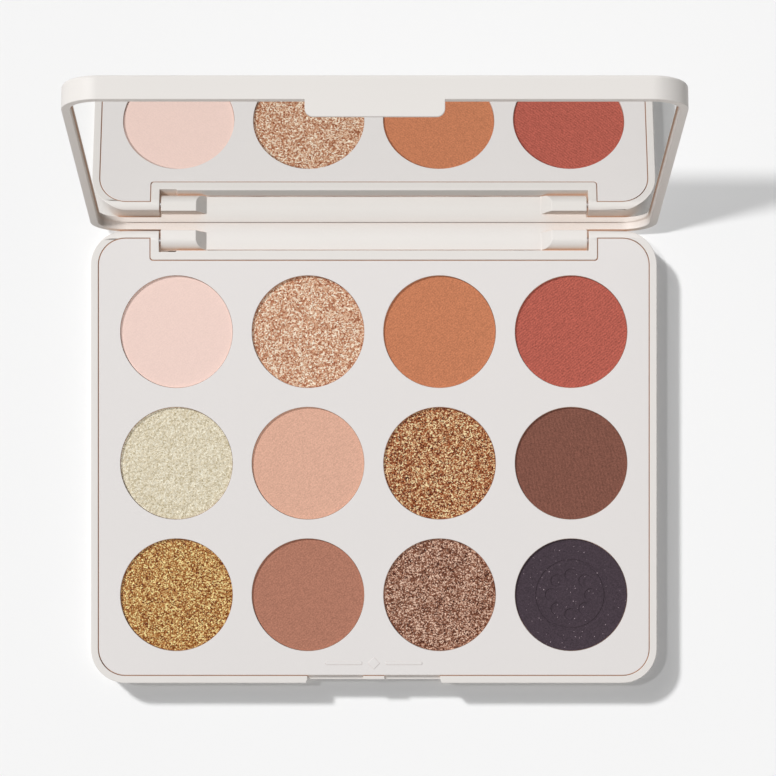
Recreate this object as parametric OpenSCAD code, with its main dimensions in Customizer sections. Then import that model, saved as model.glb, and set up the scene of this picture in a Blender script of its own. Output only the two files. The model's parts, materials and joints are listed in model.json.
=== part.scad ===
// Eyeshadow palette: a flat hinged case with a mirror in its lid and twelve pressed powders.
// Frame: the origin is the centre of the underside, +X runs along the hinge, +Y points
// towards the hinge and +Z is up. The lid is drawn open, leaning back on its stop.

/* [Case] */
// Width of the case, along the hinge
case_w = 131.6; // [130:0.2:136]
// Depth of the case, from the front to the hinge side
case_d = 105.2; // [104:0.2:110]
// Radius of the four corners, seen from above
corner_r = 8; // [6:0.5:10]
// Height of the base, from the table to its rim
base_h = 9.6; // [9.6:0.2:12]
// Height of the lid, from its rim to its outer face
lid_h = 5.4; // [5:0.1:7]
// Thickness of the base's outer wall at its rim
base_wall = 1.65; // [1.5:0.05:1.8]
// Thickness of the base's floor
floor_t = 1.2; // [1:0.1:1.4]
// Thickness of the lid's outer wall
lid_wall = 1.8; // [1.6:0.05:2]
// Thickness of the lid's outer plate
lid_plate_t = 1.6; // [1.4:0.1:1.8]
// Gap between the two rims when the case is closed
parting_gap = 0.1; // [0.05:0.05:0.15]

/* [Hinge] */
// Opening angle of the lid on its stop
open_angle = 102.7; // [0:0.1:102.7]
// Distance of the hinge axis in from the rear face
axis_inset = 2.25; // [2.25:0.05:2.4]
// Distance of the hinge axis below the base's rim
axis_drop = 2.75; // [2.75:0.05:2.9]
// Width of the recess that the hinge sits in
recess_w = 100; // [96:1:102]
// Depth of the recess, in from the rear face
recess_d = 4.65; // [4.6:0.05:5]
// Outer radius of the two hinge barrels
barrel_r = 2.15; // [2:0.05:2.2]
// Length of each barrel, up to its sloped end
barrel_l = 8.2; // [6:0.1:12]
// Diameter of the steel hinge pins
pin_d = 1.5; // [1.2:0.1:1.6]
// Length of each hinge pin
pin_l = 12.6; // [11:0.2:14]

/* [Tray] */
// Distance between the centres of neighbouring pans
pan_pitch = 30.6; // [29:0.1:31]
// Distance of the middle row in front of the middle of the case
grid_shift = 1.5; // [0:0.1:2]
// Outer diameter of a pan
pan_d = 26; // [24:0.1:26]
// Height of a pan
pan_h = 3.6; // [3:0.1:4]
// Radial clearance of a pan in its well
pan_gap = 0.1; // [0.04:0.02:0.3]
// Thickness of the tray's plate
tray_t = 1.2; // [1:0.1:1.4]
// Gap all round the tray
tray_gap = 0.2; // [0.1:0.05:0.3]
// Depth of the powder's face below the tray's face
powder_drop = 0.7; // [0.3:0.05:0.9]

/* [Mirror and latch] */
// Depth of the mirror's face behind the lid's rim
mirror_inset = 1.5; // [0.8:0.1:1.6]
// Thickness of the mirror
mirror_t = 1; // [0.8:0.1:1.2]
// Width of the latch tab under the front of the lid
tab_w = 29.2; // [20:0.2:32]
// Length of the latch tab beyond the lid's rim
tab_l = 3.75; // [3:0.05:4]

/* [Hidden] */

eps = 0.01;
far = 200;
$fn = 96;

shell_colour = [0.89, 0.87, 0.85];
tray_colour = [0.88, 0.86, 0.84];
steel_colour = [0.72, 0.73, 0.75];
tin_colour = [0.80, 0.80, 0.81];

// outside and inside of the case
edge_r = 0.8;
rear_y = case_d / 2;
front_y = -case_d / 2;
tray_top = base_h - 0.1;
tray_under = tray_top - tray_t;
ledge_w = 1.2;

// hinge
axis_y = rear_y - axis_inset;
axis_z = base_h - axis_drop;
recess_y = rear_y - recess_d;
recess_side_wall = 1.95;
recess_front_wall = 2.15;
recess_corner_r = 0.7;
side_gap = 0.35;
rear_sill_z = 3.5;
ear_relief_r = axis_drop;
tongue_x = recess_w / 2 - side_gap;
foot_r = barrel_r + 0.05;
barrel_slope_l = 2.4;
barrel_block_h = 2.05;
pin_in_barrel_l = 7;
pin_x = tongue_x - pin_in_barrel_l + pin_l / 2;
pin_fit_gap = 0.05;
pin_end_gap = 0.3;
pin_boss_l = 6.2;
pin_boss_wall = 1;
pocket_w = 4;
pocket_d = 0.3;

// pan grid
pan_cols = 4;
pan_rows = 3;
grid_y = -grid_shift;
hole_r = pan_d / 2 + pan_gap;
pan_wall = 0.25;
powder_top = tray_top - powder_drop;
powder_lip = 0.25;
pan_top = powder_top - powder_lip;
pan_base = pan_top - pan_h;
glue_t = 0.15;
glue_r = 4;
well_floor = pan_base - glue_t;
well_wall = 1;
well_floor_t = 0.9;
pan_corner = 0.6;
pan_rim_step = 0.1;
powder_foot = 0.7;
powder_crown = 0.12;
rosette_depth = 0.25;
ring_r = 8.2;
ring_t = 0.5;
petal_r = 1.5;
petal_place = 4.6;
post_r = 6;
post_wall = 1.1;
poke_r = 2;
glue_hole_r = poke_r + 0.3;

// ornament on the tray's front edge
ornament_y = front_y + 4.6;
ornament_h = 0.15;
lozenge_side = 2;
bar_size = [8.5, 0.7];
bar_r = 0.3;
bar_place = 7;

// latch
notch_w = tab_w + 1.7;
notch_flare = 0.35;
notch_d = 0.83;
notch_drop = 1.3;
catch_w = 5;
catch_drop = 0.5;
tab_t = 0.65;
tab_corner_r = 1.8;

// lid, in its closed place
lid_rim_z = base_h + parting_gap;
lid_top_z = lid_rim_z + lid_h;
lid_inner_r = corner_r - lid_wall;
mirror_z = lid_rim_z + mirror_inset;
tape_t = 0.2;
tape_w = 5;
tape_margin = 0.4;
mirror_gap = 0.4;
mirror_corner_r = 7.8;
mirror_land_z = mirror_z + mirror_t + tape_t;
mirror_land_w = 6;
land_r = 1.5;
lid_rib_t = 1;
lid_rib_pitch = 20;

// label
label_size = [64, 34];
label_r = 3;
label_t = 0.1;
label_pocket = 0.2;
label_gap = 0.2;

// colour of each powder, row by row from the rear
powder_colours = [
    [[0.94, 0.83, 0.79], [0.80, 0.60, 0.47], [0.78, 0.49, 0.34], [0.70, 0.35, 0.31]],
    [[0.85, 0.83, 0.74], [0.87, 0.66, 0.57], [0.70, 0.45, 0.29], [0.48, 0.31, 0.27]],
    [[0.68, 0.52, 0.28], [0.67, 0.45, 0.37], [0.55, 0.42, 0.36], [0.28, 0.24, 0.27]]
];

function pan_place(row, col) = [
    (col - (pan_cols + 1) / 2) * pan_pitch,
    grid_y + ((pan_rows + 1) / 2 - row) * pan_pitch
];

// ---- outlines and helpers ----

module rounded_rect(size, r) {
    square([size[0] - 2 * r, size[1]], center = true);
    square([size[0], size[1] - 2 * r], center = true);
    for (sx = [-1, 1], sy = [-1, 1])
        translate([sx * (size[0] / 2 - r), sy * (size[1] / 2 - r)]) circle(r);
}

// the case's outline, pulled in all round
module case_outline(inset) {
    rounded_rect([case_w - 2 * inset, case_d - 2 * inset], corner_r - inset);
}

// half of an upright section, with its lower edge rounded
module edge_profile(half_w, h) {
    translate([0, edge_r]) square([half_w, h - edge_r]);
    square([half_w - edge_r, h]);
    translate([half_w - edge_r, edge_r]) circle(edge_r, $fn = 32);
}

// a slab with the case's outline whose lower edge is rounded: four round corners and two bars
module soft_edged_slab(h) {
    for (sx = [-1, 1], sy = [-1, 1])
        translate([sx * (case_w / 2 - corner_r), sy * (case_d / 2 - corner_r), 0])
            rotate_extrude() edge_profile(corner_r, h);
    for (half_turn = [0, 180]) rotate(half_turn) {
        rotate([90, 0, 90]) linear_extrude(case_w - 2 * corner_r, center = true)
            edge_profile(case_d / 2, h);
        rotate([90, 0, 0]) linear_extrude(case_d - 2 * corner_r, center = true)
            edge_profile(case_w / 2, h);
    }
}

// the block of the hinge recess, which the tray goes round
module recess_block_outline(grow) {
    half_w = recess_w / 2 + recess_side_wall + grow;
    low_y = recess_y - recess_front_wall - grow;
    translate([0, (low_y + case_d) / 2])
        rounded_rect([2 * half_w, case_d - low_y], recess_corner_r);
}

module tray_outline(inset) {
    difference() {
        case_outline(base_wall + inset);
        recess_block_outline(inset);
    }
}

module at_each_pan() {
    for (row = [1:pan_rows], col = [1:pan_cols]) translate(pan_place(row, col)) children();
}

// a rod along X
module x_rod(r, from_x, to_x) {
    translate([from_x, 0, 0]) rotate([0, 90, 0]) cylinder(r = r, h = to_x - from_x);
}

module at_axis() {
    translate([0, axis_y, axis_z]) children();
}

// swings what is drawn in the closed place to the open one
module opened() {
    at_axis() rotate([-open_angle, 0, 0]) translate([0, -axis_y, -axis_z]) children();
}

// ---- base ----

module base_cavity() {
    translate([0, 0, tray_under]) linear_extrude(far) tray_outline(0);
    difference() {
        translate([0, 0, floor_t]) linear_extrude(far) tray_outline(ledge_w);
        for (s = [-1, 1])
            translate([s * (recess_w / 2 + pin_boss_l / 2), axis_y, tray_under / 2])
                cube([pin_boss_l, 2 * (axis_inset + pin_boss_wall), tray_under], center = true);
    }
}

module support_posts() {
    at_each_pan() difference() {
        translate([0, 0, floor_t - eps]) cylinder(r = post_r, h = well_floor - well_floor_t - floor_t);
        cylinder(r = post_r - post_wall, h = far);
    }
}

// the open recess, with a low sill along the rear and a deeper pocket beside the left barrel
module hinge_recess() {
    difference() {
        translate([-recess_w / 2, recess_y, floor_t]) cube([recess_w, far, far]);
        translate([-recess_w / 2, rear_y - base_wall, 0]) cube([recess_w, far, rear_sill_z]);
    }
    translate([-recess_w / 2, recess_y - pocket_d, floor_t]) cube([pocket_w, 2 * pocket_d, far]);
}

// behind the axis the ears are rounded, so that the lid's rim rolls past them
module ear_relief() {
    for (s = [-1, 1]) translate([s * (recess_w + case_w) / 4, 0, 0]) at_axis() difference() {
        translate([0, far / 2, far / 2]) cube([(case_w - recess_w) / 2 + eps, far, far], center = true);
        x_rod(ear_relief_r, -far, far);
    }
}

// the pins are pressed into bosses on both sides of the recess
module hinge_pin_bores() {
    for (m = [0, 1]) mirror([m, 0, 0]) at_axis() translate([pin_x, 0, 0])
        x_rod(pin_d / 2, -pin_l / 2, pin_l / 2 + pin_boss_l / 2);
}

module front_notch() {
    face_y = front_y + notch_d;
    linear_extrude(far, center = true) polygon([
        [-notch_w / 2, face_y], [notch_w / 2, face_y],
        [notch_w / 2 + notch_flare, front_y - eps], [-notch_w / 2 - notch_flare, front_y - eps]
    ]);
    // the wall behind the notch is low, and the catch stands up in its middle
    difference() {
        translate([0, front_y, base_h]) cube([notch_w, 2 * base_wall, 2 * notch_drop], center = true);
        translate([0, front_y, base_h - catch_drop - far / 2])
            cube([catch_w, 3 * base_wall, far], center = true);
    }
}

module base_shell() {
    color(shell_colour) difference() {
        union() {
            difference() {
                soft_edged_slab(base_h);
                base_cavity();
            }
            support_posts();
        }
        hinge_recess();
        ear_relief();
        front_notch();
        hinge_pin_bores();
        linear_extrude(2 * label_pocket, center = true)
            rounded_rect(label_size + [2, 2] * label_gap, label_r);
    }
}

module bottom_label() {
    color("white") translate([0, 0, label_pocket - label_t])
        linear_extrude(label_t) rounded_rect(label_size, label_r);
}

// ---- tray, pans and powders ----

// a small ornament raised on the tray's front edge: a lozenge between two bars
module tray_ornament() {
    linear_extrude(ornament_h + eps) translate([0, ornament_y]) {
        rotate(45) square(lozenge_side, center = true);
        for (s = [-1, 1]) translate([s * bar_place, 0]) rounded_rect(bar_size, bar_r);
    }
}

module tray() {
    well_h = tray_under - well_floor + well_floor_t;
    color(tray_colour) difference() {
        union() {
            translate([0, 0, tray_under]) linear_extrude(tray_t) tray_outline(tray_gap);
            translate([0, 0, tray_top - eps]) tray_ornament();
            at_each_pan() translate([0, 0, tray_under - well_h])
                cylinder(r = hole_r + well_wall, h = well_h + eps);
        }
        at_each_pan() {
            translate([0, 0, well_floor]) cylinder(r = hole_r, h = far);
            cylinder(r = poke_r, h = far);
        }
    }
}

module pan_glue_dots() {
    color("gold") at_each_pan() translate([0, 0, well_floor]) difference() {
        cylinder(r = glue_r, h = glue_t);
        translate([0, 0, -eps]) cylinder(r = glue_hole_r, h = far);
    }
}

// a drawn tin cup with a small chamfer around its floor
module pan(row, col) {
    outer_r = pan_d / 2;
    inner_corner = pan_corner + pan_rim_step;
    color(tin_colour) translate(pan_place(row, col)) translate([0, 0, pan_base])
        rotate_extrude() polygon([
            [0, 0], [outer_r - pan_corner, 0], [outer_r, pan_corner], [outer_r, pan_h],
            [outer_r - pan_wall, pan_h], [outer_r - pan_wall, inner_corner],
            [outer_r - inner_corner, pan_wall], [0, pan_wall]
        ]);
}

// eight petals and a ring pressed into the last powder
module rosette() {
    for (turn = [0:45:315]) rotate(turn) translate([petal_place, 0]) circle(petal_r, $fn = 24);
    difference() {
        circle(ring_r);
        circle(ring_r - ring_t);
    }
}

// a pressed cake that fills its pan and laps over the pan's rim
module powder(row, col) {
    outer_r = pan_d / 2;
    inner_r = outer_r - pan_wall;
    top = pan_h + powder_lip;
    color(powder_colours[row - 1][col - 1])
        translate(pan_place(row, col)) difference() {
            translate([0, 0, pan_base]) rotate_extrude() polygon([
                [0, pan_wall], [inner_r - powder_foot + pan_rim_step, pan_wall],
                [inner_r, powder_foot], [inner_r, pan_h], [outer_r, pan_h],
                [outer_r, top - powder_crown], [outer_r - powder_crown, top], [0, top]
            ]);
            if (row == pan_rows && col == pan_cols)
                translate([0, 0, powder_top - rosette_depth]) linear_extrude(far) rosette();
        }
}

// ---- hinge pins ----

module hinge_pin(side) {
    color(steel_colour) at_axis() translate([side * pin_x, 0, 0])
        x_rod(pin_d / 2, -pin_l / 2, pin_l / 2);
}

// ---- lid ----

// outline of the lid's hollow, pulled in all round
module lid_inner_outline(inset, r = lid_inner_r) {
    rounded_rect([case_w - 2 * (lid_wall + inset), case_d - 2 * (lid_wall + inset)], r);
}

// outline of the mirror, whose corners are rounder than the hollow's
module mirror_outline(inset) {
    lid_inner_outline(mirror_gap + inset, mirror_corner_r - inset);
}

module lid_hollow() {
    // the mirror drops into the first step, and the second leaves a land around its edge
    translate([0, 0, mirror_land_z - far]) linear_extrude(far) lid_inner_outline(0);
    difference() {
        linear_extrude(lid_top_z - lid_plate_t) lid_inner_outline(mirror_land_w, land_r);
        for (i = [-2:2]) translate([i * lid_rib_pitch, 0, lid_top_z / 2])
            cube([lid_rib_t, case_d, lid_top_z], center = true);
        for (i = [-1:1]) translate([0, i * lid_rib_pitch, lid_top_z / 2])
            cube([case_w, lid_rib_t, lid_top_z], center = true);
    }
}

// the rear wall runs down into the recess as a tongue with a round foot
module hinge_tongue() {
    wall_y = axis_inset - lid_wall;
    rotate([90, 0, 90]) linear_extrude(2 * tongue_x, center = true) {
        translate([wall_y, 0]) square([foot_r - wall_y, axis_drop + parting_gap + eps]);
        intersection() {
            circle(foot_r);
            translate([wall_y, -far]) square([far, 2 * far]);
        }
    }
}

// a barrel is round where it passes the recess and square above, and its inner end
// slopes down to the tongue
module hinge_barrel(side) {
    wall_y = axis_inset - lid_wall;
    inner_x = tongue_x - barrel_l;
    mirror([side < 0 ? 1 : 0, 0, 0]) intersection() {
        rotate([90, 0, 90]) linear_extrude(tongue_x) {
            circle(barrel_r);
            translate([-barrel_r, 0]) square([barrel_r + wall_y, barrel_block_h]);
        }
        linear_extrude(far, center = true) polygon([
            [tongue_x, -barrel_r - 1], [tongue_x, barrel_r + 1],
            [inner_x - barrel_slope_l, barrel_r + 1], [inner_x - barrel_slope_l, wall_y],
            [inner_x, -barrel_r], [inner_x, -barrel_r - 1]
        ]);
    }
}

module latch_tab() {
    translate([0, front_y + tab_t, lid_rim_z + eps]) rotate([90, 0, 0]) linear_extrude(tab_t)
        difference() {
            rounded_rect([tab_w, 2 * tab_l], tab_corner_r);
            translate([-tab_w, 0]) square([2 * tab_w, far]);
        }
}

module lid_shell() {
    color(shell_colour) opened() difference() {
        union() {
            difference() {
                translate([0, 0, lid_top_z]) mirror([0, 0, 1]) soft_edged_slab(lid_h);
                lid_hollow();
            }
            at_axis() {
                hinge_tongue();
                for (side = [-1, 1]) hinge_barrel(side);
            }
            latch_tab();
        }
        for (side = [-1, 1]) at_axis() translate([side * pin_x, 0, 0])
            x_rod(pin_d / 2 + pin_fit_gap, -pin_l / 2 - pin_end_gap, pin_l / 2 + pin_end_gap);
    }
}

module mirror_glass() {
    color("lightblue") opened() translate([0, 0, mirror_z])
        linear_extrude(mirror_t) mirror_outline(0);
}

module mirror_tape() {
    color("dimgray") opened() translate([0, 0, mirror_z + mirror_t]) linear_extrude(tape_t)
        difference() {
            mirror_outline(tape_margin);
            mirror_outline(tape_margin + tape_w);
        }
}

base_shell();
tray();
pan_glue_dots();
bottom_label();
hinge_pin(-1);  // hinge_pin_left
hinge_pin(1);  // hinge_pin_right
lid_shell();
mirror_glass();  // mirror
mirror_tape();
pan(1, 1);  // pan_r1c1
pan(1, 2);  // pan_r1c2
pan(1, 3);  // pan_r1c3
pan(1, 4);  // pan_r1c4
pan(2, 1);  // pan_r2c1
pan(2, 2);  // pan_r2c2
pan(2, 3);  // pan_r2c3
pan(2, 4);  // pan_r2c4
pan(3, 1);  // pan_r3c1
pan(3, 2);  // pan_r3c2
pan(3, 3);  // pan_r3c3
pan(3, 4);  // pan_r3c4
powder(1, 1);  // powder_r1c1_pale_pink
powder(1, 2);  // powder_r1c2_rose_gold_glitter
powder(1, 3);  // powder_r1c3_tan_orange
powder(1, 4);  // powder_r1c4_brick_red
powder(2, 1);  // powder_r2c1_ivory_shimmer
powder(2, 2);  // powder_r2c2_peach
powder(2, 3);  // powder_r2c3_copper_glitter
powder(2, 4);  // powder_r2c4_dark_brown
powder(3, 1);  // powder_r3c1_gold_glitter
powder(3, 2);  // powder_r3c2_rose_brown
powder(3, 3);  // powder_r3c3_bronze_glitter
powder(3, 4);  // powder_r3c4_charcoal
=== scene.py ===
"""The looks of an eyeshadow palette: materials, pressed powders, light and camera.

Everything is in metres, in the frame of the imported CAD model: X along the hinge, Y towards
the hinge, Z up, and the underside's centre at the origin.
"""

import json
import math

import bmesh
import bpy
import numpy as np
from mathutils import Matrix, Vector, kdtree

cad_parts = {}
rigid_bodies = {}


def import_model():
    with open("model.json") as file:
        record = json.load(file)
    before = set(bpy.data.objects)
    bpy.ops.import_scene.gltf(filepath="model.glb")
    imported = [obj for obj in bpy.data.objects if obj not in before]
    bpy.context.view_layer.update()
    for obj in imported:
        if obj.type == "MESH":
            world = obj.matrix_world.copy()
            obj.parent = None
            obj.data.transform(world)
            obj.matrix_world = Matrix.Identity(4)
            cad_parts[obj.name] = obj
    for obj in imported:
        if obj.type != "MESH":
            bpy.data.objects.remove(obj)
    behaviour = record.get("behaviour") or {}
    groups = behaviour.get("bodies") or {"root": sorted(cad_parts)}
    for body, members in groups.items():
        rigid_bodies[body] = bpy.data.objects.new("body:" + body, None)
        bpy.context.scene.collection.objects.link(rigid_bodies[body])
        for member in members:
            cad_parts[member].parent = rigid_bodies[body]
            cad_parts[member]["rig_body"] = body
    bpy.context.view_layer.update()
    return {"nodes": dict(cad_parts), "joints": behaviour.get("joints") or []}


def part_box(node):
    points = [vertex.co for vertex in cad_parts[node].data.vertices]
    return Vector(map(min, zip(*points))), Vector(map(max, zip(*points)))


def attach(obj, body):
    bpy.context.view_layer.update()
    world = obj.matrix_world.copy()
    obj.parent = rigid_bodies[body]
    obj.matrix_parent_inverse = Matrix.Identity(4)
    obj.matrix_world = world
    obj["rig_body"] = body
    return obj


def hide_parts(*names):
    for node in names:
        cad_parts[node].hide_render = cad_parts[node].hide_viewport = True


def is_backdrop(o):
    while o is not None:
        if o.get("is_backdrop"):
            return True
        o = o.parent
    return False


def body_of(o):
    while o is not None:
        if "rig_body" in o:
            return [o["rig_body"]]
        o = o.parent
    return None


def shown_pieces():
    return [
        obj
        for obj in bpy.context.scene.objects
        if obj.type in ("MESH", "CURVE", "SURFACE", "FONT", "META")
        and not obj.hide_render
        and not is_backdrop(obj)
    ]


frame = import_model()

MM = 0.001

# ---- camera: its place, its focal length in millimetres and its shift in sensor widths ----
CAMERA_PLACE = Vector((-2.0, 13.8, 920.4)) * MM
CAMERA_LENS = 181.7
CAMERA_SHIFT = (0.0293, 0.0122)

# ---- light: the whole of it on an upward face, and each source's share of that ----
TOTAL_LIGHT = 1.08
KEY_SHARE = 0.50
SOFT_SHARE = 0.06
SIDE_SHARE = 0.42
SKY_SHARE = 0.02
# the share of the side light that the base's shell cuts off too
SIDE_PART = 0.27
# the fill light is level: this is its share on a face turned towards it
FILL_SHARE = 0.34
FILL_TONE = (1.0, 0.94, 0.89)
# which way each light travels
KEY_RAY = Vector((0.66, -0.60, -1))
SIDE_RAY = Vector((0.335, -0.145, -1))
SOFT_RAY = Vector((0.50, -0.50, -1))
FILL_RAY = Vector((-0.5, 0.87, 0))
# how wide each light is, which sets how soft its shadows are
KEY_BLUR = math.radians(5)
SOFT_BLUR = math.radians(14)
SIDE_BLUR = math.radians(2.8)
# the sky's brightness where it is looked at or mirrored
SKY_SEEN = 0.86

# ---- floor ----
FLOOR_COLOUR = (0.84, 0.84, 0.84)
FLOOR_SIZE = 6.0
FLOOR_SINK = 0.02 * MM

# ---- CAD nodes: what is welded, what counts as flat and which edges are rounded ----
WELD_REACH = 0.002 * MM
FLAT_ANGLE = math.radians(0.3)
EDGE_ANGLE = math.radians(35)

# ---- plastic's painted shade: how far off things shade it, in millimetres, and where gaps begin and end ----
HOLLOW_REACH = 4.0
GAP_REACH = 0.9
GAP_OPENNESS = (0.12, 0.5)

# ---- powders: how the cake sits in its pan ----
PAN_WALL = 0.25 * MM
# how thick the cake is where it laps over the rim, and the least that relief leaves of it
LIP = 0.25 * MM
LIP_LEFT = 0.02 * MM
# the size of the cake's rounded foot, and the share of it by which its middle corner is set in
FOOT = 0.7 * MM
FOOT_ROUNDING = 0.3

# ---- powders: a cake's face by kind, with lengths in millimetres and turns in degrees ----
# steps: its grid across; shoulder, drop: how wide and how deep its edge falls off; sharp: the
# turn from which an edge is sharp; flake_tilt: how flakes lean; glint: how far their shading leans
FACES = {
    "matte": dict(steps=110, shoulder=0.55, drop=0.07, sharp=40),
    "shimmer": dict(steps=110, shoulder=0.55, drop=0.07, sharp=28, flake_tilt=5, glint=0.12),
    "glitter": dict(steps=150, shoulder=1.1, drop=0.21, sharp=28, flake_tilt=9, glint=0.16),
}
ROSETTE_STEPS = 240
# the height of the press cloth's slow waves, and how high or low a flake sits, in flakes
CLOTH_WAVES = 0.006
FLAKE_LIFT = 0.12
# what sets a flake's colour: its own draw, the finer pearl and a slow drift about its middle
FLAKE_PART, PEARL_PART, DRIFT_PART = 0.62, 0.34, 0.16
DRIFT_MIDDLE = 0.35
FLAKE_STOPS = (0.13, 0.36, 0.60, 0.84)
# painted shade at a glittering powder's rim: how far off things shade it, in mm, where the rim
# begins and ends
RIM_REACH = 1.0
RIM_OPENNESS = (0.3, 0.9)
RIM_PAINTED_SHADE = (0.86, 0.66, 0.58)
# the size of the loose bright grains in the last powder, in millimetres
SPECK_SIZE = 0.16

# ---- powders: the pressing cloth's pitch in millimetres, lean in degrees and share of ribs ----
PLAIN_CLOTH = (0.6, 50, 0.15)

# ---- powders: the rosette of petals within a ring, in millimetres ----
PETALS = 8
PETAL_PLACE = 4.6
PETAL_RADIUS = 1.5
RING_PLACE = 7.95
RING_HALF_WIDTH = 0.25
PRESSED_EDGE = 0.14
PRESSED_DEPTH = 0.22

# ---- label: two rows of dots within a thin frame, in millimetres ----
DOT_PITCH = 9.0
DOT_RADIUS = 2.6
DOT_COLUMNS = 6
FRAME_INSET = 2
FRAME_HALF_WIDTH = 0.12


# ---------------------------------------------------------------- node materials

class Material:
    """A node material with one Principled shader, built by short calls."""

    def __init__(self, name):
        self.data = bpy.data.materials.new(name)
        self.data.use_nodes = True
        self.tree = self.data.node_tree
        self.tree.nodes.clear()
        self.shader = self.add("BsdfPrincipled")
        output = self.add("OutputMaterial")
        self.tree.links.new(self.shader.outputs[0], output.inputs["Surface"])
        self.coordinates = self.add("TexCoord")

    def add(self, kind, inputs=None, **settings):
        """A new node, with its settings made and its inputs fed."""
        node = self.tree.nodes.new("ShaderNode" + kind)
        for key, value in settings.items():
            setattr(node, key, value)
        for key, value in (inputs or {}).items():
            self.feed(node.inputs[key], value)
        return node

    def feed(self, socket, value):
        """Links a socket to another node's output, or gives it a value."""
        if isinstance(value, bpy.types.NodeSocket):
            self.tree.links.new(value, socket)
        elif isinstance(value, tuple) and len(value) == 3 and len(socket.default_value) == 4:
            socket.default_value = (*value, 1)
        else:
            socket.default_value = value

    def set(self, **inputs):
        """Feeds the shader's inputs, with _ for each space in their names."""
        for key, value in inputs.items():
            self.feed(self.shader.inputs[key.replace("_", " ")], value)

    def math(self, operation, a, b=0.0):
        """The value of a Math node."""
        return self.add("Math", {0: a, 1: b}, operation=operation).outputs[0]

    def vector(self, operation, a, b=(0, 0, 0)):
        """What a Vector Math node gives: a value for a dot product, or else a vector."""
        node = self.add("VectorMath", {0: a, 1: b}, operation=operation)
        return node.outputs["Value"] if operation == "DOT_PRODUCT" else node.outputs[0]

    def place(self, stretch=(1, 1, 1), turn=0.0, shift=(0, 0, 0)):
        """The point on the object, in millimetres."""
        node = self.add(
            "Mapping",
            {
                "Vector": self.coordinates.outputs["Object"],
                "Scale": tuple(s / MM for s in stretch),
                "Rotation": (0, 0, turn),
                "Location": shift,
            },
        )
        return node.outputs[0]

    def noise(self, size, at=None, detail=2.0):
        """Noise whose features are about size millimetres."""
        inputs = {"Vector": at or self.place(), "Scale": 1 / size, "Detail": detail}
        return self.add("TexNoise", inputs).outputs["Fac"]

    def cells(self, size, shift=(0, 0, 0)):
        """A random colour for each irregular cell of about size millimetres."""
        inputs = {"Vector": self.place(shift=shift), "Scale": 1 / size}
        return self.add("TexVoronoi", inputs).outputs["Color"]

    def ramp(self, value, stops, mode="LINEAR"):
        """A colour by value, between stops of a position and a colour."""
        node = self.add("ValToRGB", {"Fac": value})
        node.color_ramp.interpolation = mode
        elements = node.color_ramp.elements
        while len(elements) < len(stops):
            elements.new(0.5)
        for element, (at, colour) in zip(elements, stops):
            element.position = at
            element.color = (*colour, 1)
        return node.outputs["Color"]

    def blend(self, share, a, b, mode="MIX"):
        """Colour a, with b laid over it by its share."""
        node = self.add("Mix", data_type="RGBA", blend_type=mode, clamp_result=False)
        self.feed(node.inputs[0], share)
        self.feed(node.inputs[6], a)
        self.feed(node.inputs[7], b)
        return node.outputs[2]

    def span(self, value, low, high):
        """A value from 0 to 1, moved to run from low to high."""
        return self.add("MapRange", {"Value": value, "To Min": low, "To Max": high}).outputs[0]

    def spread(self, value, low, high):
        """A value from low to high, moved to run from 0 to 1."""
        return self.add("MapRange", {"Value": value, "From Min": low, "From Max": high}).outputs[0]

    def weigh(self, *parts):
        """The sum of values, each times its share."""
        total = None
        for value, share in parts:
            part = self.math("MULTIPLY", value, share)
            total = self.math("ADD", total, part) if total else part
        return total

    def openness(self, reach, closed, clear):
        """0 in the gaps and 1 on open faces, from how much lies within reach millimetres."""
        around = self.add("AmbientOcclusion", {"Distance": reach * MM}, samples=6).outputs["AO"]
        return self.spread(around, closed, clear)

    def looked_at(self):
        """1 where the face itself is looked at, also in a mirror, and 0 for scattered light."""
        return self.math("LESS_THAN", self.add("LightPath").outputs["Diffuse Depth"], 0.5)

    def bump(self, height, depth):
        """Relief whose full height is depth millimetres."""
        inputs = {"Height": height, "Distance": depth * MM, "Strength": 1.0}
        return self.add("Bump", inputs).outputs[0]


def srgb(red, green, blue):
    """A colour given as it shows on a screen, 0 to 255, as the linear numbers of a shader."""
    def linear(c):
        c = c / 255
        return c / 12.92 if c <= 0.04045 else ((c + 0.055) / 1.055) ** 2.4
    return (linear(red), linear(green), linear(blue))


# the light on an upward face with its inter-reflections, and the white sheen on top of it
LIGHT_ON_TOP = 1.026 * TOTAL_LIGHT
SHEEN_ON_TOP = 0.009


def seen(red, green, blue):
    """The colour of an upward face that shows as these screen numbers in the studio light."""
    return tuple(max(c - SHEEN_ON_TOP, 0.0) / LIGHT_ON_TOP for c in srgb(red, green, blue))


def shade(colour, factor):
    """A colour made lighter or darker by a factor."""
    return tuple(min(c * factor, 1.0) for c in colour)


# painted shade of the off-white plastic: the tone it takes in narrow gaps, and what darkens and
# warms it elsewhere by how open the place is
GAP_PAINTED_SHADE = srgb(186, 142, 116)
HOLLOW_PAINTED_SHADE = [(0.0, (0.74, 0.58, 0.48)), (0.3, (0.88, 0.79, 0.74)), (0.5, (0.94, 0.905, 0.89)),
                (0.8, (0.965, 0.96, 0.96)), (0.95, (1, 1, 1))]

# what the plastic sends back of scattered light: nearly all of it in the hollows, and little from
# open faces, so that the case throws no bright halo onto the floor
SCATTER_TONES = [(0.5, (1, 0.92, 0.86)), (0.8, (0.12, 0.12, 0.12))]


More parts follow.
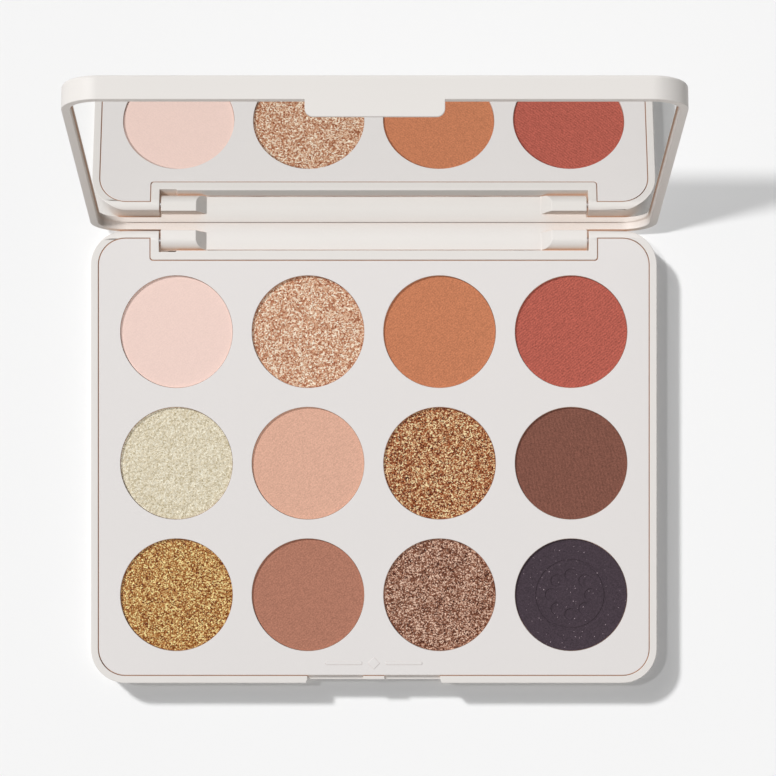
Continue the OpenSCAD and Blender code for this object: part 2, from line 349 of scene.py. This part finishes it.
def moulded_plastic(name, colour, roughness, spark_depth):
    """Satin injection moulding: a fine spark-eroded grain, faint flow marks, painted shade in gaps
    and hollows.
    """
    m = Material(name)
    grain = m.noise(0.12, detail=3.0)
    flow = m.noise(28.0, at=m.place(stretch=(1, 0.35, 1)), detail=1.0)
    toned = m.blend(flow, shade(colour, 0.985), shade(colour, 1.01))
    speckled = m.blend(m.span(grain, 0.0, 0.06), toned, shade(colour, 0.8))
    # painted shade: the colour turns darker and warmer in hollows, and takes a warm dark tone in
    # narrow gaps
    around = m.openness(HOLLOW_REACH, 0.0, 1.0)
    shaded = m.blend(1.0, speckled, m.ramp(around, HOLLOW_PAINTED_SHADE), mode="MULTIPLY")
    base = m.blend(m.openness(GAP_REACH, *GAP_OPENNESS), GAP_PAINTED_SHADE, shaded)
    scattered = m.blend(1.0, colour, m.ramp(around, SCATTER_TONES), mode="MULTIPLY")
    m.set(
        Base_Color=m.blend(m.looked_at(), scattered, base),
        Roughness=m.span(grain, roughness - 0.05, roughness + 0.07),
        Normal=m.bump(grain, spark_depth),
        Specular_IOR_Level=0.3,
    )
    return m.data


def steel_wire():
    """Ground steel wire: fine rings around the pin."""
    m = Material("pin_steel")
    rings = m.noise(0.08, at=m.place(stretch=(1, 0.02, 0.02)), detail=2.0)
    m.set(
        Base_Color=m.blend(rings, srgb(176, 178, 181), srgb(203, 204, 206)),
        Metallic=1.0,
        Roughness=m.span(rings, 0.22, 0.38),
        Normal=m.bump(rings, 0.004),
    )
    return m.data


def drawn_tin():
    """Bright rolled tin plate of the pans: faint rolling lines and a cloudy crystal pattern."""
    m = Material("pan_metal")
    lines = m.noise(0.1, at=m.place(stretch=(1, 0.03, 1)), detail=2.0)
    crystals = m.noise(1.6, detail=1.0)
    m.set(
        Base_Color=m.blend(crystals, srgb(196, 197, 199), srgb(222, 222, 221)),
        Metallic=1.0,
        Roughness=m.span(lines, 0.2, 0.36),
        Normal=m.bump(lines, 0.003),
    )
    return m.data


# what the mirror sends back of scattered light, and the cosine of the turn within which a face
# still counts as its front or its back
MIRROR_DULL = (0.3, 0.3, 0.3)
FACING = 0.9

# a dark strip along the mirror's foot, in millimetres: partly painted shade of the gap there,
# partly the glass's dark ground edge
FOOT_SHADE_STRIP = 0.7


def mirror_glass(face):
    """Silvered glass above a dark painted-shade strip at its foot, clear edges, grey paint behind.
    """
    m = Material("mirror_glass")
    facing = m.vector("DOT_PRODUCT", m.coordinates.outputs["Normal"], tuple(face))
    front = m.math("GREATER_THAN", facing, FACING)
    back = m.math("LESS_THAN", facing, -FACING)
    # scattered light meets a dull face, so the mirror throws no bright patches onto the case
    looked_at = m.looked_at()
    haze = m.noise(9.0, detail=2.0)
    silver = m.blend(haze, (0.925, 0.925, 0.915), (0.94, 0.94, 0.935))
    edge, paint, foot_shade = srgb(168, 186, 178), srgb(120, 121, 122), srgb(46, 42, 39)
    # up the face, at right angles to the hinge
    rise = face.cross(Vector((1, 0, 0)))
    foot = min(vertex.co.dot(rise) for vertex in frame["nodes"]["mirror"].data.vertices)
    up = m.vector("DOT_PRODUCT", m.coordinates.outputs["Object"], tuple(rise))
    # painted shade: below this line the face is dark and mirrors nothing
    above_foot_shade = m.math("GREATER_THAN", up, foot + FOOT_SHADE_STRIP * MM)
    colour = m.blend(back, m.blend(front, edge, silver), paint)
    colour = m.blend(above_foot_shade, foot_shade, colour)
    m.set(
        Base_Color=m.blend(looked_at, MIRROR_DULL, colour),
        Metallic=m.math("MULTIPLY", above_foot_shade, m.math("MULTIPLY", front, looked_at)),
        Roughness=m.math("ADD", m.math("MULTIPLY", back, 0.45), m.span(haze, 0.0, 0.012)),
    )
    return m.data


def foam_tape():
    """Black foam tape with open pores."""
    m = Material("foam_tape")
    pores = m.add("TexVoronoi", {"Vector": m.place(), "Scale": 4.0}).outputs["Distance"]
    m.set(
        Base_Color=m.blend(pores, srgb(38, 38, 39), srgb(74, 74, 75)),
        Roughness=m.span(pores, 0.95, 0.75),
        Normal=m.bump(pores, 0.04),
    )
    return m.data


def hot_melt_glue():
    """Dots of cloudy yellowish glue."""
    m = Material("hot_melt_glue")
    cloud = m.noise(1.4, detail=3.0)
    m.set(
        Base_Color=m.blend(cloud, srgb(226, 203, 150), srgb(240, 228, 196)),
        Roughness=m.span(cloud, 0.25, 0.45),
        Normal=m.bump(cloud, 0.05),
        Subsurface_Weight=0.3,
        Subsurface_Radius=(0.6 * MM, 0.4 * MM, 0.2 * MM),
        Subsurface_Scale=1.0,
    )
    return m.data


# ---------------------------------------------------------------- powders

# each powder's kind and colours, from its darkest grain to its brightest
# the brightest flake colours of the glittering and shimmering powders are partly painted glints
POWDERS = {
    "pale_pink": dict(kind="matte", colour=seen(238, 210, 200), weave=0.06),
    "rose_gold_glitter": dict(
        kind="glitter", size=0.32,
        colours=[seen(130, 70, 46), seen(172, 120, 90), seen(212, 172, 142), seen(250, 240, 220)],
    ),
    "tan_orange": dict(kind="matte", colour=seen(194, 125, 91), weave=0.32),
    "brick_red": dict(kind="matte", colour=seen(177, 94, 81), weave=0.5, cloth=(0.6, 50, 0.3)),
    "ivory_shimmer": dict(
        kind="shimmer", size=0.3,
        colours=[
            seen(166, 154, 124), seen(198, 187, 162), seen(214, 204, 181), seen(240, 234, 214),
        ],
    ),
    "peach": dict(kind="matte", colour=seen(219, 172, 150), weave=0.22),
    "copper_glitter": dict(
        kind="glitter", size=0.27,
        colours=[seen(48, 8, 0), seen(116, 52, 20), seen(184, 120, 78), seen(255, 240, 190)],
    ),
    "dark_brown": dict(kind="matte", colour=seen(126, 83, 71), weave=0.46, cloth=(0.85, -12, 0.2)),
    "gold_glitter": dict(
        kind="glitter", size=0.27,
        colours=[seen(70, 24, 4), seen(130, 76, 30), seen(190, 138, 82), seen(255, 240, 172)],
    ),
    "rose_brown": dict(kind="matte", colour=seen(174, 120, 100), weave=0.34),
    "bronze_glitter": dict(
        kind="glitter", size=0.25,
        colours=[seen(36, 10, 4), seen(96, 52, 34), seen(158, 112, 90), seen(246, 214, 192)],
    ),
    "charcoal": dict(
        kind="matte", colour=seen(70, 60, 67), weave=0.42, cloth=(0.6, 50, 0), sparkle=0.995,
    ),
}


def pressed_cloth(m, pitch, lean, share):
    """The print of a pressing cloth: wavering ribs, leaning by so many degrees, and its nap."""
    inputs = {
        "Vector": m.place(turn=math.radians(lean)), "Scale": 1 / (pitch * math.pi),
        "Distortion": 6.0, "Detail": 3.0, "Detail Scale": 1.2,
    }
    ribs = m.add("TexWave", inputs, bands_direction="X").outputs["Fac"]
    nap = m.spread(m.noise(0.3, detail=3.0), 0.3, 0.7)
    return m.weigh((ribs, share), (nap, 1 - share))


def rim_painted_shade(m, base):
    """Painted shade at a glittering powder's rim: a redder tone where light bounces among its
    flakes.
    """
    redder = m.blend(1.0, base, RIM_PAINTED_SHADE, mode="MULTIPLY")
    return m.blend(m.openness(RIM_REACH, *RIM_OPENNESS), redder, base)


def matte_powder(name, colour, weave, cloth=PLAIN_CLOTH, sparkle=None):
    """Pressed matte powder: the print of the pressing cloth, a soft mottle and loose grains."""
    m = Material("powder_" + name)
    print_of_cloth = pressed_cloth(m, *cloth)
    mottle = m.noise(2.4, detail=4.0)
    grains = m.noise(0.2, detail=2.0)
    printed = m.blend(print_of_cloth, shade(colour, 1 + weave), shade(colour, 1 - weave))
    toned = m.blend(mottle, shade(colour, 0.95), shade(colour, 1.05))
    base = m.blend(0.8, toned, printed)
    height = m.weigh((print_of_cloth, 0.5), (grains, 0.5))
    if sparkle:
        speck = m.add("SeparateColor", {"Color": m.cells(SPECK_SIZE)})
        lit = m.math("GREATER_THAN", speck.outputs[0], sparkle)
        glow = m.math("MULTIPLY", lit, m.math("MULTIPLY", speck.outputs[1], 0.9))
        base = m.blend(glow, base, srgb(196, 176, 184))
    m.set(
        Base_Color=base,
        Roughness=m.span(grains, 0.82, 0.98),
        Normal=m.bump(height, 0.02),
        Specular_IOR_Level=0.25,
    )
    return m.data


def flake_powder(name, colours, size, kind):
    """Pressed flakes: each has its own colour, tilt and gloss, over a finer layer of pearl."""
    m = Material("powder_" + name)
    flakes = m.cells(size)
    pearl = m.cells(size * 0.6, shift=(3.1, 7.7, 0))
    flake = m.add("SeparateColor", {"Color": flakes})
    speck = m.add("SeparateColor", {"Color": pearl})
    drift = m.math("SUBTRACT", m.noise(2.6, detail=2.0), DRIFT_MIDDLE)
    level = m.weigh((flake.outputs[0], FLAKE_PART), (speck.outputs[0], PEARL_PART),
                    (drift, DRIFT_PART))
    # the flakes' own colours, with painted glints on the brightest of them
    base = m.ramp(level, list(zip(FLAKE_STOPS, colours)))
    if kind == "glitter":
        # painted shade: the rim turns darker and redder
        base = rim_painted_shade(m, base)
    glint = 2 * FACES[kind]["glint"]
    offset = m.vector("MULTIPLY", m.vector("SUBTRACT", flakes, (0.5, 0.5, 0.5)),
                      (glint, glint, 0))
    geometry = m.add("NewGeometry")
    m.set(
        Base_Color=base,
        Metallic=0.1,
        Roughness=m.span(flake.outputs[1], 0.35, 0.6),
        Normal=m.vector("NORMALIZE", m.vector("ADD", geometry.outputs["Normal"], offset)),
        Specular_IOR_Level=0.12,
    )
    return m.data


def disc_grid(n):
    """Points of an n by n grid pressed into a unit disc, its quads, and its border in order."""
    steps = np.linspace(-1, 1, n + 1)
    a, b = np.meshgrid(steps, steps, indexing="ij")
    wide = np.abs(a) > np.abs(b)
    radius = np.where(wide, a, b)
    with np.errstate(divide="ignore", invalid="ignore"):
        angle = np.where(wide, math.pi / 4 * b / a, math.pi / 2 - math.pi / 4 * a / b)
    angle = np.nan_to_num(angle)
    points = np.stack([radius * np.cos(angle), radius * np.sin(angle)], axis=-1).reshape(-1, 2)
    index = np.arange((n + 1) ** 2).reshape(n + 1, n + 1)
    quads = np.stack([index[:-1, :-1], index[1:, :-1], index[1:, 1:], index[:-1, 1:]], axis=-1)
    border = np.concatenate([index[:-1, 0], index[-1, :-1], index[:0:-1, -1], index[0, :0:-1]])
    return points, quads.reshape(-1, 4), border


def flake_relief(points, size, tilt, seed):
    """Heights of a face of pressed flakes: each is flat, with a tilt and a lift of its own."""
    draw = np.random.default_rng(seed)
    reach = float(np.abs(points).max()) + size
    count = int((2 * reach / size) ** 2)
    seeds = draw.uniform(-reach, reach, (count, 2))
    slopes = draw.normal(0, math.tan(tilt), (count, 2))
    lift = draw.uniform(-FLAKE_LIFT, FLAKE_LIFT, count) * size
    tree = kdtree.KDTree(count)
    for i, (x, y) in enumerate(seeds):
        tree.insert((x, y, 0), i)
    tree.balance()
    nearest = np.array([tree.find((x, y, 0))[1] for x, y in points])
    away = points - seeds[nearest]
    return (away * slopes[nearest]).sum(axis=1) + lift[nearest]


def cloth_relief(points, depth):
    """Heights of the press cloth's slow waves on a matte face, in two slanting runs."""
    x, y = points[:, 0] / MM, points[:, 1] / MM
    return depth * (np.sin(1.9 * x + 0.8 * y) * np.sin(0.7 * x - 1.6 * y))


def rosette_relief(points):
    """Round petals and a ring pressed into the last powder, with soft edges."""
    radius = np.hypot(points[:, 0], points[:, 1]) / MM
    angle = np.arctan2(points[:, 1], points[:, 0])
    sector = 2 * math.pi / PETALS
    turned = (angle + sector / 2) % sector - sector / 2
    across = np.hypot(radius * np.cos(turned) - PETAL_PLACE, radius * np.sin(turned))
    petals = np.clip((PETAL_RADIUS - across) / PRESSED_EDGE, 0, 1)
    ring = np.clip((RING_HALF_WIDTH - np.abs(radius - RING_PLACE)) / PRESSED_EDGE + 0.5, 0, 1)
    pressed = np.maximum(petals, ring)
    return -PRESSED_DEPTH * MM * pressed * pressed * (3 - 2 * pressed)


def cake_face(name, look, outer):
    """The grid of a cake's face about its centre: flat points, heights, quads and border."""
    face = FACES[look["kind"]]
    points, quads, border = disc_grid(ROSETTE_STEPS if name == "charcoal" else face["steps"])
    flat = points * outer
    radius = np.hypot(flat[:, 0], flat[:, 1])
    shoulder = face["shoulder"] * MM
    over = np.clip((radius - (outer - shoulder)) / shoulder, 0, 1)
    heights = -face["drop"] * MM * (1 - np.sqrt(np.clip(1 - over * over, 0, 1)))
    if look["kind"] == "matte":
        heights += cloth_relief(flat, CLOTH_WAVES * MM)
    else:
        tilt = math.radians(face["flake_tilt"])
        heights += flake_relief(flat, look["size"] * MM, tilt, len(name))
    if name == "charcoal":
        heights += rosette_relief(flat)
    heights -= heights.max()
    return flat, np.maximum(heights, -LIP + LIP_LEFT), quads, border


def powder_piece(node, name, look):
    """A pressed cake with a crowned face, which fills its pan and laps over its rim."""
    low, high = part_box(node)
    centre = (low + high) / 2
    outer = (high.x - low.x) / 2
    flat, heights, quads, border = cake_face(name, look, outer)
    top = np.column_stack([flat[:, 0] + centre.x, flat[:, 1] + centre.y, heights + high.z])

    # the cake's side, ring by ring from its lip down to its foot
    rim = flat[border] / outer
    inner = outer - PAN_WALL
    rounding = FOOT * FOOT_ROUNDING
    profile = [
        (outer, high.z - LIP), (inner, high.z - LIP), (inner, low.z + FOOT),
        (inner - rounding, low.z + rounding), (inner - FOOT, low.z), (inner * 0.5, low.z),
    ]
    rings = [np.column_stack([rim[:, 0] * r + centre.x, rim[:, 1] * r + centre.y,
                              np.full(len(rim), z)]) for r, z in profile]
    vertices = np.concatenate([top, *rings, [[centre.x, centre.y, low.z]]])
    faces = [tuple(quad) for quad in quads.tolist()]
    above = border
    for level in range(len(profile)):
        below = len(top) + level * len(border) + np.arange(len(border))
        strip = (above, below, np.roll(below, -1), np.roll(above, -1))
        faces += list(zip(*(ring.tolist() for ring in strip)))
        above = below
    last = len(vertices) - 1
    faces += [(a, last, b) for a, b in zip(above.tolist(), np.roll(above, -1).tolist())]

    mesh = bpy.data.meshes.new(name)
    mesh.from_pydata(vertices.tolist(), [], faces)
    mesh.validate()
    piece = bpy.data.objects.new("cake_" + name, mesh)
    bpy.context.scene.collection.objects.link(piece)
    fix_normals(mesh)
    mesh.polygons.foreach_set("use_smooth", [True] * len(mesh.polygons))
    mesh.set_sharp_from_angle(angle=math.radians(FACES[look["kind"]]["sharp"]))
    if look["kind"] == "matte":
        own = {key: value for key, value in look.items() if key != "kind"}
        mesh.materials.append(matte_powder(name, **own))
    else:
        mesh.materials.append(flake_powder(name, look["colours"], look["size"], look["kind"]))
    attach(piece, "base")
    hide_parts(node)


def fix_normals(mesh):
    """Turns every face of a closed mesh outwards."""
    edit = bmesh.new()
    edit.from_mesh(mesh)
    bmesh.ops.recalc_face_normals(edit, faces=edit.faces)
    edit.to_mesh(mesh)
    edit.free()


def make_powders():
    """A cake for each powder node, which is named by its row, its column and its powder."""
    for node in sorted(frame["nodes"]):
        if node.startswith("powder_"):
            name = node.split("_", 2)[2]
            powder_piece(node, name, POWDERS[name])


# ---------------------------------------------------------------- CAD nodes

def give(node, material, bevel=0.0, segments=2):
    """Gives a CAD node its material and rounds its sharp edges by bevel millimetres."""
    piece = frame["nodes"][node]
    piece.data.materials.clear()
    piece.data.materials.append(material)
    if not bevel:
        return
    weld = piece.modifiers.new("weld", "WELD")
    weld.merge_threshold = WELD_REACH
    flat = piece.modifiers.new("flat", "DECIMATE")
    flat.decimate_type = "DISSOLVE"
    flat.angle_limit = FLAT_ANGLE
    soft = piece.modifiers.new("soft_edges", "BEVEL")
    soft.width = bevel * MM
    soft.segments = segments
    soft.limit_method = "ANGLE"
    soft.angle_limit = EDGE_ANGLE
    soft.use_clamp_overlap = False
    piece.modifiers.new("even_normals", "WEIGHTED_NORMAL")


def smooth_all():
    """Smooth shading on every CAD node."""
    for piece in frame["nodes"].values():
        piece.data.polygons.foreach_set("use_smooth", [True] * len(piece.data.polygons))


def open_direction():
    """Which way the mirror's face looks while the lid is open."""
    angle = math.radians(frame["joints"][0]["range_deg"][1])
    return Vector((0, -math.sin(angle), -math.cos(angle)))


def paper_label():
    """White paper printed with a thin frame and two rows of plain colour dots."""
    m = Material("label_paper")
    fibre = m.noise(0.35, at=m.place(stretch=(0.5, 1, 1)), detail=3.0)
    low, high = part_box("bottom_label")
    half = (high - low) / 2 / MM
    point = m.add("SeparateXYZ", {"Vector": m.place()})
    x, y = point.outputs[0], point.outputs[1]

    def within(value, limit):
        return m.math("LESS_THAN", m.math("ABSOLUTE", value), limit)

    def step(value):
        """The number of the pitch that a value lies in, and the value from that pitch's middle."""
        number = m.math("FLOOR", m.math("DIVIDE", value, DOT_PITCH))
        start = m.math("MULTIPLY", number, DOT_PITCH)
        return number, m.math("SUBTRACT", m.math("SUBTRACT", value, start), DOT_PITCH / 2)

    column, in_x = step(x)
    row, in_y = step(y)
    square = m.math("ADD", m.math("MULTIPLY", in_x, in_x), m.math("MULTIPLY", in_y, in_y))
    dot = m.math("LESS_THAN", m.math("SQRT", square), DOT_RADIUS)
    block = m.math("MULTIPLY", within(x, DOT_COLUMNS / 2 * DOT_PITCH), within(y, DOT_PITCH))
    dot = m.math("MULTIPLY", dot, block)
    place = m.math("ADD", m.math("ADD", column, DOT_COLUMNS / 2),
                   m.math("MULTIPLY", m.math("ADD", row, 1), DOT_COLUMNS))
    tones = [look.get("colour") or look["colours"][1] for look in POWDERS.values()]
    stops = [(i / len(tones), tone) for i, tone in enumerate(tones)]
    printed = m.ramp(m.math("DIVIDE", m.math("ADD", place, 0.5), len(tones)), stops, "CONSTANT")

    def frame_side(across, along, half_across, half_along):
        edge = m.math("SUBTRACT", m.math("ABSOLUTE", across), half_across - FRAME_INSET)
        reach = half_along - FRAME_INSET + FRAME_HALF_WIDTH
        return m.math("MULTIPLY", within(edge, FRAME_HALF_WIDTH), within(along, reach))

    line = m.math("MAXIMUM", frame_side(x, y, half.x, half.y), frame_side(y, x, half.y, half.x))
    paper = m.blend(fibre, srgb(238, 238, 235), srgb(247, 247, 245))
    ink = m.blend(line, m.blend(dot, paper, printed), srgb(150, 140, 134))
    m.set(Base_Color=ink, Roughness=m.span(fibre, 0.75, 0.9), Normal=m.bump(fibre, 0.01))
    return m.data


def dress_cad_nodes():
    """Materials and rounded edges for every CAD node that stays."""
    smooth_all()
    case = moulded_plastic("case_plastic", seen(225, 221, 217), 0.5, 0.006)
    tray = moulded_plastic("tray_plastic", seen(225, 221, 219), 0.55, 0.008)
    steel, tin = steel_wire(), drawn_tin()
    give("base_shell", case, bevel=0.13)
    give("lid_shell", case, bevel=0.13)
    give("tray", tray, bevel=0.10)
    give("mirror", mirror_glass(open_direction()), bevel=0.18, segments=3)
    give("mirror_tape", foam_tape())
    give("pan_glue_dots", hot_melt_glue())
    give("bottom_label", paper_label())
    for node in sorted(frame["nodes"]):
        if node.startswith("pan_r"):
            give(node, tin)
        elif node.startswith("hinge_pin"):
            give(node, steel, bevel=0.2)


# ---------------------------------------------------------------- stage

def make_camera():
    """A long lens straight above the palette."""
    lens = bpy.data.cameras.new("camera")
    lens.sensor_width = 36
    lens.lens = CAMERA_LENS
    lens.shift_x, lens.shift_y = CAMERA_SHIFT
    lens.clip_start, lens.clip_end = 0.01, 50
    camera = bpy.data.objects.new("camera", lens)
    camera.location = CAMERA_PLACE
    bpy.context.scene.collection.objects.link(camera)
    bpy.context.scene.camera = camera


def make_floor():
    """A plain pale floor, a hair below the underside."""
    m = Material("floor")
    m.set(
        Base_Color=m.blend(m.noise(900.0), shade(FLOOR_COLOUR, 0.995), shade(FLOOR_COLOUR, 1.005)),
        Roughness=0.9,
        Specular_IOR_Level=0.0,
    )
    half, z = FLOOR_SIZE / 2, -FLOOR_SINK
    mesh = bpy.data.meshes.new("floor")
    corners = [(-half, -half, z), (half, -half, z), (half, half, z), (-half, half, z)]
    mesh.from_pydata(corners, [], [(0, 1, 2, 3)])
    mesh.materials.append(m.data)
    floor = bpy.data.objects.new("floor", mesh)
    bpy.context.scene.collection.objects.link(floor)
    floor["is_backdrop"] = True


def group(name, pieces):
    """A collection for light linking."""
    collection = bpy.data.collections.new(name)
    for piece in pieces:
        collection.objects.link(piece)
    return collection


def on_bodies(*bodies):
    """The pieces that ride on these bodies."""
    return [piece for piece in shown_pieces() if set(body_of(piece)) <= set(bodies)]


def make_sun(name, ray, share, blur, throws_shadow, face=Vector((0, 0, 1)), tone=(1, 1, 1)):
    """A sun that gives this share of the light to a face that looks along the given direction."""
    data = bpy.data.lights.new(name, "SUN")
    ray = ray.normalized()
    data.energy = math.pi * share * TOTAL_LIGHT / -ray.dot(face)
    data.angle = blur
    data.color = tone
    sun = bpy.data.objects.new(name, data)
    sun.rotation_mode = "QUATERNION"
    sun.rotation_quaternion = ray.to_track_quat("-Z", "Y")
    bpy.context.scene.collection.objects.link(sun)
    sun.light_linking.blocker_collection = group(name + "_shadows", throws_shadow)


def make_sky():
    """A pale sky: whole for reflections, and a small share of the light on matte faces."""
    world = bpy.data.worlds.new("sky")
    world.use_nodes = True
    # rays find the sky by themselves, so each of them knows how it was scattered
    world.cycles.sampling_method = "NONE"
    bpy.context.scene.world = world
    nodes, links = world.node_tree.nodes, world.node_tree.links
    nodes.clear()
    ray = nodes.new("ShaderNodeLightPath")
    strength = nodes.new("ShaderNodeMapRange")
    strength.inputs["To Min"].default_value = SKY_SEEN
    strength.inputs["To Max"].default_value = SKY_SHARE * TOTAL_LIGHT
    links.new(ray.outputs["Diffuse Depth"], strength.inputs["Value"])
    background = nodes.new("ShaderNodeBackground")
    background.inputs["Color"].default_value = (1, 1, 1, 1)
    links.new(strength.outputs[0], background.inputs["Strength"])
    output = nodes.new("ShaderNodeOutputWorld")
    links.new(background.outputs[0], output.inputs["Surface"])


def make_light():
    """Soft studio light: the base cuts off the key light, and the lid cuts off the side light."""
    make_sky()
    base, lid = on_bodies("base"), on_bodies("lid")
    shells = [frame["nodes"]["base_shell"], *lid]
    make_sun("key", KEY_RAY, KEY_SHARE, KEY_BLUR, base)
    make_sun("soft", SOFT_RAY, SOFT_SHARE, SOFT_BLUR, base)
    make_sun("side", SIDE_RAY, SIDE_SHARE * SIDE_PART, SIDE_BLUR, shells)
    make_sun("side_open", SIDE_RAY, SIDE_SHARE * (1 - SIDE_PART), SIDE_BLUR, lid)
    # level light from the front and the right, which only upright faces catch: nothing visible
    # stands in its way
    label = frame["nodes"]["bottom_label"]
    make_sun("fill", FILL_RAY, FILL_SHARE, SOFT_BLUR, [label], face=-FILL_RAY, tone=FILL_TONE)
    bpy.context.scene.view_settings.view_transform = "Standard"


make_camera()
dress_cad_nodes()
make_powders()
make_floor()
make_light()
